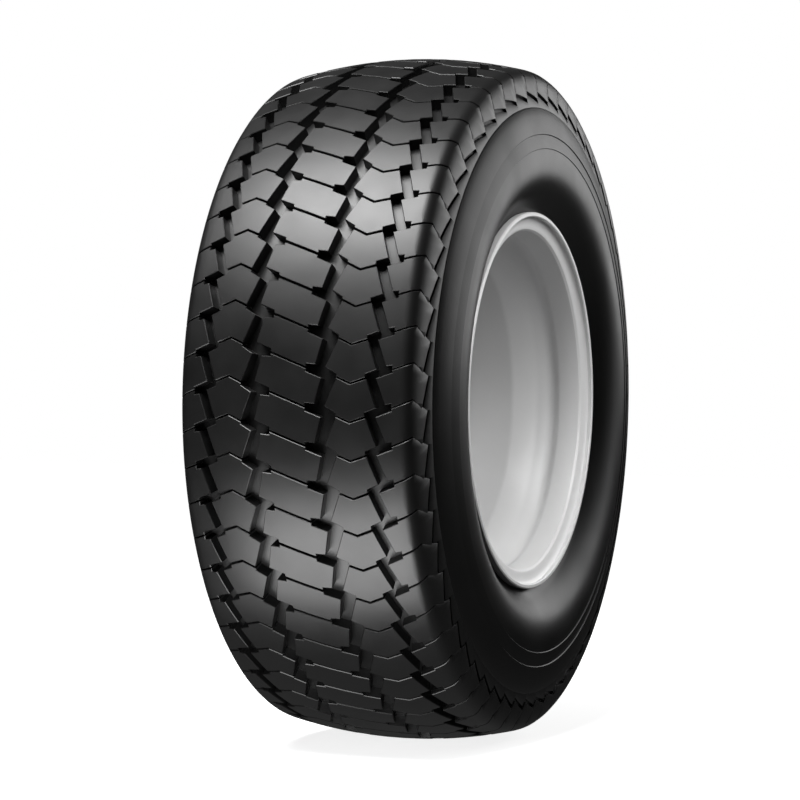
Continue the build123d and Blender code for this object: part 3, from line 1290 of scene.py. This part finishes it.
@dataclass
class DiscWeld:
    """The ring weld that joins the disc's skirt to the well, with its ripples."""

    well: float = 200.0
    foot: float = 48.0
    leg: float = 6.0
    ripples: int = 210
    ripple: float = 0.45

    def build(self) -> bpy.types.Object:
        """Turn the weld's section and push the ripples into it."""
        reach = self.leg
        mesh = outline_mesh(
            [
                (self.well, self.foot),
                (self.well, self.foot + reach),
                (self.well - 2.4, self.foot + 4.6),
                (self.well - 4.6, self.foot + 2.4),
                (self.well - reach, self.foot),
            ],
            {2: (0.8, 2), 3: (0.8, 2)},
        )
        turned(mesh, self.ripples * 4)
        for vert in mesh.verts:
            radius = math.hypot(vert.co.x, vert.co.z)
            place = vert.co.y - self.foot * MM
            depth = (self.well * MM - radius) + place
            if self.well * MM - radius > 1e-5 and place > 1e-5:
                turn = math.atan2(vert.co.z, vert.co.x)
                lag = 5.0 * place / (self.leg * MM)
                push = self.ripple * MM * (0.5 + 0.5 * math.cos(self.ripples * turn + lag))
                share = min(depth / (self.leg * MM), 1.0)
                vert.co.x *= 1 + push * share / radius
                vert.co.z *= 1 + push * share / radius
                vert.co.y -= push * share * 0.7
        return finished(
            "disc_weld_rippled",
            mesh,
            RIM_ENAMEL,
            stands_for=("disc_weld",),
            sharp_angle=60.0,
        )


@dataclass
class Valve:
    """The clamp-in valve at the bottom of the well: stem, seals, nut and cap."""

    place: float = -25.0
    head_bottom: float = -211.55
    grommet_bottom: float = -208.55
    outer_seat: float = -205.55
    inner_seat: float = -200.0
    shank_top: float = -178.05
    stem_top: float = -160.05
    cap_bottom: float = -175.05
    cap_top: float = -157.05
    stem_radius: float = 5.9
    neck_radius: float = 3.9
    head_radius: float = 11.5
    turns: int = 48

    @property
    def centre(self) -> Vector:
        """A point on the valve's axis, in metres."""
        return Vector((0.0, self.place * MM, 0.0))

    def section(
        self, points: list[tuple[float, float]], radii: dict[int, tuple[float, int]]
    ) -> bmesh.types.BMesh:
        """Draw a section beside the valve's axis as (radius, height).

        Args:
            points: Corners in millimetres.
            radii: Corners to round, as outline_mesh takes them.

        Returns:
            The section in the XZ plane through the valve's axis.
        """
        mesh = outline_mesh(points, radii)
        for vert in mesh.verts:
            vert.co = Vector((vert.co.x, self.place * MM, vert.co.y))
        return mesh

    def thread(
        self, mesh: bmesh.types.BMesh, root: float, crest: float, low: float, high: float, pitch: float
    ) -> None:
        """Wind a thread's ridge round the valve's axis.

        Args:
            mesh: The mesh that gets the ridge.
            root: Radius under the ridge.
            crest: Radius of its edge.
            low: Height where it starts.
            high: Height where it ends.
            pitch: Rise of one turn.
        """
        steps_per_turn = 24
        turns_count = (high - low - pitch) / pitch
        corners = [
            mesh.verts.new((r * MM, self.place * MM, (low + z) * MM))
            for r, z in ((root - 0.15, 0.0), (crest, pitch * 0.42), (crest, pitch * 0.58), (root - 0.15, pitch))
        ]
        face = mesh.faces.new(corners)
        steps = round(turns_count * steps_per_turn)
        bmesh.ops.spin(
            mesh,
            geom=[face, *face.edges, *corners],
            cent=self.centre,
            axis=(0.0, 0.0, 1.0),
            dvec=(0.0, 0.0, pitch * MM / steps_per_turn),
            angle=2 * math.pi * steps / steps_per_turn,
            steps=steps,
            use_merge=False,
            use_normal_flip=False,
            use_duplicate=False,
        )

    def stem(self) -> bpy.types.Object:
        """The brass stem: head, threaded shank, threaded neck and its chamber."""
        mesh = self.section(
            [
                (1.5, self.head_bottom),
                (self.head_radius, self.head_bottom),
                (self.head_radius, self.grommet_bottom),
                (self.stem_radius, self.grommet_bottom),
                (self.stem_radius, self.inner_seat - 2.0),
                (self.stem_radius - 0.55, self.inner_seat - 1.5),
                (self.stem_radius - 0.55, self.shank_top - 0.8),
                (self.neck_radius - 0.4, self.shank_top),
                (self.neck_radius - 0.4, self.stem_top - 0.4),
                (self.neck_radius - 0.8, self.stem_top),
                (2.65, self.stem_top),
                (2.65, -186.05),
                (1.5, -186.05),
            ],
            {1: (0.8, 3), 2: (0.5, 2)},
        )
        turned(mesh, self.turns, Vector((0, 0, 1)), self.centre)
        self.thread(mesh, self.stem_radius - 0.55, self.stem_radius, self.inner_seat - 1.2, self.shank_top - 0.6, 1.0)
        self.thread(mesh, self.neck_radius - 0.4, self.neck_radius, self.shank_top + 2.0, self.stem_top - 0.3, 0.8)
        return finished(
            "valve_stem_brass", mesh, VALVE_BRASS, stands_for=("valve_stem",)
        )

    def grommet(self) -> bpy.types.Object:
        """The rubber seal that fills the rim's hole and sits under the head."""
        mesh = self.section(
            [
                (6.0, self.grommet_bottom),
                (self.head_radius, self.grommet_bottom),
                (self.head_radius, self.outer_seat),
                (7.8, self.outer_seat),
                (7.8, self.inner_seat),
                (6.0, self.inner_seat),
            ],
            {1: (0.8, 3), 2: (0.4, 2)},
        )
        turned(mesh, self.turns, Vector((0, 0, 1)), self.centre)
        return finished(
            "valve_grommet_moulded", mesh, SEAL_RUBBER, stands_for=("valve_grommet",)
        )

    def washer(self) -> bpy.types.Object:
        """The steel washer under the nut, its edges rolled by blanking."""
        low, high = self.inner_seat, self.inner_seat + 1.5
        mesh = self.section(
            [(6.0, low), (self.head_radius, low), (self.head_radius, high), (6.0, high)],
            {2: (0.35, 3), 1: (0.2, 2)},
        )
        turned(mesh, self.turns, Vector((0, 0, 1)), self.centre)
        return finished(
            "valve_washer_blanked", mesh, VALVE_STEEL, stands_for=("valve_washer",)
        )

    def nut(self) -> bpy.types.Object:
        """The hexagon nut: chamfered corners, and a bore that clears the thread."""
        flats, height, bore = 17.0, 6.0, 6.0
        mesh = bmesh.new()
        hexagon = bmesh.ops.create_circle(
            mesh, cap_ends=False, radius=flats / 2 / math.cos(math.pi / 6), segments=6
        )["verts"]
        bmesh.ops.subdivide_edges(mesh, edges=mesh.edges[:], cuts=7)
        bmesh.ops.create_circle(mesh, cap_ends=False, radius=bore, segments=48)
        bmesh.ops.bridge_loops(mesh, edges=mesh.edges[:])
        out = bmesh.ops.extrude_face_region(mesh, geom=mesh.faces[:], use_keep_orig=True)
        upper = [g for g in out["geom"] if isinstance(g, bmesh.types.BMVert)]
        bmesh.ops.translate(mesh, verts=upper, vec=(0.0, 0.0, height))
        bmesh.ops.recalc_face_normals(mesh, faces=mesh.faces[:])
        ends = [
            e
            for e in mesh.edges
            if len(e.link_faces) == 2
            and e.calc_face_angle(0.0) > 1.2
            and abs(e.verts[0].co.z - e.verts[1].co.z) < 1e-6
        ]
        bmesh.ops.bevel(
            mesh,
            geom=ends,
            offset=0.6,
            offset_type="OFFSET",
            segments=2,
            profile=0.5,
            affect="EDGES",
            material=-1,
        )
        # The turned chamfer takes the corners down in a cone at each end
        for vert in mesh.verts:
            reach = math.hypot(vert.co.x, vert.co.y) - flats / 2
            near_end = min(vert.co.z, height - vert.co.z)
            if reach > 0 and near_end < reach * 0.6:
                vert.co.z = reach * 0.6 if vert.co.z < height / 2 else height - reach * 0.6
        bmesh.ops.scale(mesh, verts=mesh.verts[:], vec=(MM, MM, MM))
        bmesh.ops.translate(
            mesh, verts=mesh.verts[:], vec=self.centre + Vector((0, 0, (self.inner_seat + 1.5) * MM))
        )
        del hexagon
        return finished(
            "valve_nut_hexagon", mesh, VALVE_STEEL, stands_for=("valve_nut",)
        )

    def cap(self) -> bpy.types.Object:
        """The knurled nylon cap."""
        wall = 5.2
        mesh = self.section(
            [
                (0.0, self.cap_top),
                (wall, self.cap_top),
                (wall, self.cap_bottom + 1.6),
                (wall - 0.3, self.cap_bottom + 1.2),
                (wall - 0.3, self.cap_bottom),
                (4.0, self.cap_bottom),
                (4.0, self.cap_top - 2.0),
                (0.0, self.cap_top - 2.0),
            ],
            {1: (1.2, 4)},
        )
        middle = [e for e in mesh.edges if all(v.co.x < 1e-6 for v in e.verts)]
        bmesh.ops.delete(mesh, geom=middle, context="EDGES_FACES")
        turned(mesh, 72, Vector((0, 0, 1)), self.centre)
        for vert in mesh.verts:
            local = vert.co - self.centre
            radius = math.hypot(local.x, local.y)
            turn = round(math.atan2(local.y, local.x) / (2 * math.pi) * 72)
            if radius > (wall - 0.05) * MM and turn % 2:
                vert.co.x = local.x * (1 - 0.3 * MM / radius) + self.centre.x
                vert.co.y = local.y * (1 - 0.3 * MM / radius) + self.centre.y
        return finished(
            "valve_cap_knurled",
            mesh,
            CAP_NYLON,
            body=Body.CAP,
            stands_for=("valve_cap",),
            sharp_angle=40.0,
        )

    def build(self) -> list[bpy.types.Object]:
        """Build every valve piece that is drawn here."""
        return [self.stem(), self.grommet(), self.washer(), self.nut(), self.cap()]


# Finishes for the CAD nodes that keep their own shape
NODE_FINISHES: dict[str, Finish] = {
    "breaker_inner_ply": BREAKER_CORD,
    "breaker_outer_ply": BREAKER_CORD_OTHER_WAY,
    "carcass_ply": CARCASS_CORD,
    "inner_liner": LINER_RUBBER,
    "bead_core_outer": BEAD_WIRE,
    "bead_core_inner": BEAD_WIRE,
    "bead_filler_outer": BEAD_RUBBER,
    "bead_filler_inner": BEAD_RUBBER,
    "chafer_outer": BEAD_RUBBER,
    "chafer_inner": BEAD_RUBBER,
    "valve_core_barrel": VALVE_BRASS,
    "valve_core_pin": VALVE_STEEL,
    "valve_core_seal": SEAL_RUBBER,
    "valve_core_spring": VALVE_STEEL,
    "valve_cap_seal": SEAL_RUBBER,
}


def dress_nodes() -> None:
    """Give each CAD node that stays in view its finish."""
    for name, finish in NODE_FINISHES.items():
        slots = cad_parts[name].data.materials
        if len(slots):
            for number in range(len(slots)):
                slots[number] = finish.made()
        else:
            slots.append(finish.made())
        log.info("%s: %s", name, finish.title)


# ---- studio ----


@dataclass
class Studio:
    """Floor, soft boxes and camera, placed for the photograph's viewing angle."""

    azimuth: float = -68.13
    roll: float = 0.88
    distance: float = 3.9977
    shift_right: float = 0.0321
    shift_up: float = 0.0015
    lens: float = 135.0

    def camera(self) -> None:
        """Place the camera: level, a little rolled, far off with a long lens."""
        turn, lean = math.radians(self.azimuth), math.radians(self.roll)
        back = Vector((math.sin(turn), -math.cos(turn), 0.0))
        up = Vector((0.0, 0.0, 1.0))
        right = up.cross(back)
        rolled_right = math.cos(lean) * right + math.sin(lean) * up
        rolled_up = -math.sin(lean) * right + math.cos(lean) * up
        data = bpy.data.cameras.new("camera")
        data.lens = self.lens
        data.sensor_width = 36.0
        data.clip_start, data.clip_end = 0.05, 60.0
        camera = bpy.data.objects.new("camera", data)
        bpy.context.scene.collection.objects.link(camera)
        place = (
            self.distance * back - self.shift_right * rolled_right - self.shift_up * rolled_up
        )
        turned_to = Matrix((rolled_right, rolled_up, back)).transposed().to_4x4()
        camera.matrix_world = Matrix.Translation(place) @ turned_to
        bpy.context.scene.camera = camera

    def soft_box(
        self,
        name: str,
        place: tuple[float, float, float],
        aim: tuple[float, float, float],
        size: tuple[float, float],
        power: float,
    ) -> bpy.types.Object:
        """Hang one soft box.

        Args:
            name: Its name.
            place: Where it hangs, in metres.
            aim: The point it looks at.
            size: Width and height in metres.
            power: Its power in watts.

        Returns:
            The light.
        """
        data = bpy.data.lights.new(name, "AREA")
        data.shape = "RECTANGLE"
        data.size, data.size_y = size
        data.energy = power
        light = bpy.data.objects.new(name, data)
        light.location = place
        light.rotation_mode = "QUATERNION"
        light.rotation_quaternion = (Vector(aim) - Vector(place)).to_track_quat("-Z", "Y")
        light.visible_camera = False
        bpy.context.scene.collection.objects.link(light)
        return light

    def floor(self) -> None:
        """Lay the pale floor that the tyre stands on; it glows with painted light, weaker near the wheel so that the
        soft boxes' cast shadow shows there.
        """
        mesh = bmesh.new()
        bmesh.ops.create_grid(mesh, x_segments=1, y_segments=1, size=14.0)
        bmesh.ops.translate(mesh, verts=mesh.verts[:], vec=(0.0, 0.0, CAD_BOX[0].z))
        data = bpy.data.meshes.new("studio_floor")
        mesh.to_mesh(data)
        mesh.free()
        material = bpy.data.materials.new("matt_white_floor")
        material.use_nodes = True
        tree = material.node_tree
        tree.nodes.clear()
        place = add_node(tree, "ShaderNodeTexCoord").outputs["Object"]
        reach = add_node(tree, "ShaderNodeVectorMath", {"operation": "LENGTH"}, {0: place})
        # Painted light: the floor's emission rises from 0.82 near the wheel to full at 1.8 m, so it reads white far
        # off and a cast shadow shows near the wheel
        painted_floor_glow = add_node(
            tree,
            "ShaderNodeMapRange",
            {"From Min": 0.5, "From Max": 1.8, "To Min": 0.82, "To Max": 1.0},
            {"Value": reach.outputs["Value"]},
        )
        shader = add_node(
            tree,
            "ShaderNodeBsdfPrincipled",
            {
                "Base Color": linear("#f0f0f0"),
                "Roughness": 0.9,
                "Emission Color": (1.0, 1.0, 1.0, 1.0),
            },
            {"Emission Strength": painted_floor_glow.outputs["Result"]},
        )
        add_node(tree, "ShaderNodeOutputMaterial", {}, {"Surface": shader.outputs["BSDF"]})
        data.materials.append(material)
        floor = bpy.data.objects.new("studio_floor", data)
        bpy.context.scene.collection.objects.link(floor)
        floor.visible_glossy = False
        floor.visible_diffuse = False

    def surroundings(self) -> None:
        """A white backdrop to look at, and a dim room that lights the tyre from above."""
        world = bpy.data.worlds.new("studio")
        bpy.context.scene.world = world
        world.use_nodes = True
        tree = world.node_tree
        tree.nodes.clear()
        way = add_node(tree, "ShaderNodeTexCoord").outputs["Generated"]
        split = add_node(tree, "ShaderNodeSeparateXYZ", {}, {"Vector": way})
        level = add_node(
            tree,
            "ShaderNodeFloatCurve",
            {},
            {
                "Value": add_node(
                    tree,
                    "ShaderNodeMapRange",
                    {"From Min": -1.0, "From Max": 1.0},
                    {"Value": split.outputs["Z"]},
                ).outputs["Result"]
            },
        )
        curve = level.mapping.curves[0]
        # Share of the way from straight down to straight up, and the room's brightness there
        curve.points[0].location = (0.0, 0.16)
        curve.points[1].location = (1.0, 0.08)
        for place, brightness in ((0.3, 0.07), (0.42, 0.015), (0.55, 0.02), (0.8, 0.04)):
            curve.points.new(place, brightness)
        level.mapping.update()
        room = add_node(
            tree,
            "ShaderNodeBackground",
            {"Color": (1.0, 1.0, 1.0, 1.0)},
            {"Strength": level.outputs["Value"]},
        )
        white = add_node(
            tree, "ShaderNodeBackground", {"Color": (1.0, 1.0, 1.0, 1.0), "Strength": 1.0}
        )
        seen = add_node(tree, "ShaderNodeLightPath").outputs["Is Camera Ray"]
        mix = add_node(
            tree,
            "ShaderNodeMixShader",
            {},
            {0: seen, 1: room.outputs["Background"], 2: white.outputs["Background"]},
        )
        add_node(tree, "ShaderNodeOutputWorld", {}, {"Surface": mix.outputs["Shader"]})

    def build(self) -> None:
        """Set up everything round the tyre."""
        bpy.context.scene.view_settings.view_transform = "Standard"
        self.camera()
        self.floor()
        self.surroundings()
        self.soft_box("soft_box_above", (-1.2, 0.45, 2.0), (-0.4, 0.45, 0.2), (2.1, 1.2), 108.0)
        self.soft_box("soft_box_low", (-0.6, 0.02, -0.43), (-0.38, 0.02, -0.2), (0.55, 0.32), 3.4)
        self.soft_box("soft_box_right", (1.7, -1.2, 0.6), (0.1, -0.15, 0.1), (1.9, 1.0), 12.0)
        rim_light = self.soft_box(
            "soft_box_rim", (-0.8, -2.0, 1.6), (0.1, 0.0, 0.0), (2.0, 2.0), 75.0
        )
        group = bpy.data.collections.new("rim_pieces")
        for name in ("rim_barrel_enamelled", "wheel_disc_pressed", "disc_weld_rippled"):
            group.objects.link(bpy.data.objects[name])
        rim_light.light_linking.receiver_collection = group


def main() -> None:
    """Build the pieces in order, dress them and set up the studio."""
    logging.basicConfig(level=logging.INFO, format="%(message)s")
    Tread().build()
    for side in Side:
        Sidewall(side).build()
    Rim().build()
    Disc().build()
    DiscWeld().build()
    Valve().build()
    dress_nodes()
    Studio().build()


if __name__ == "__main__":
    main()
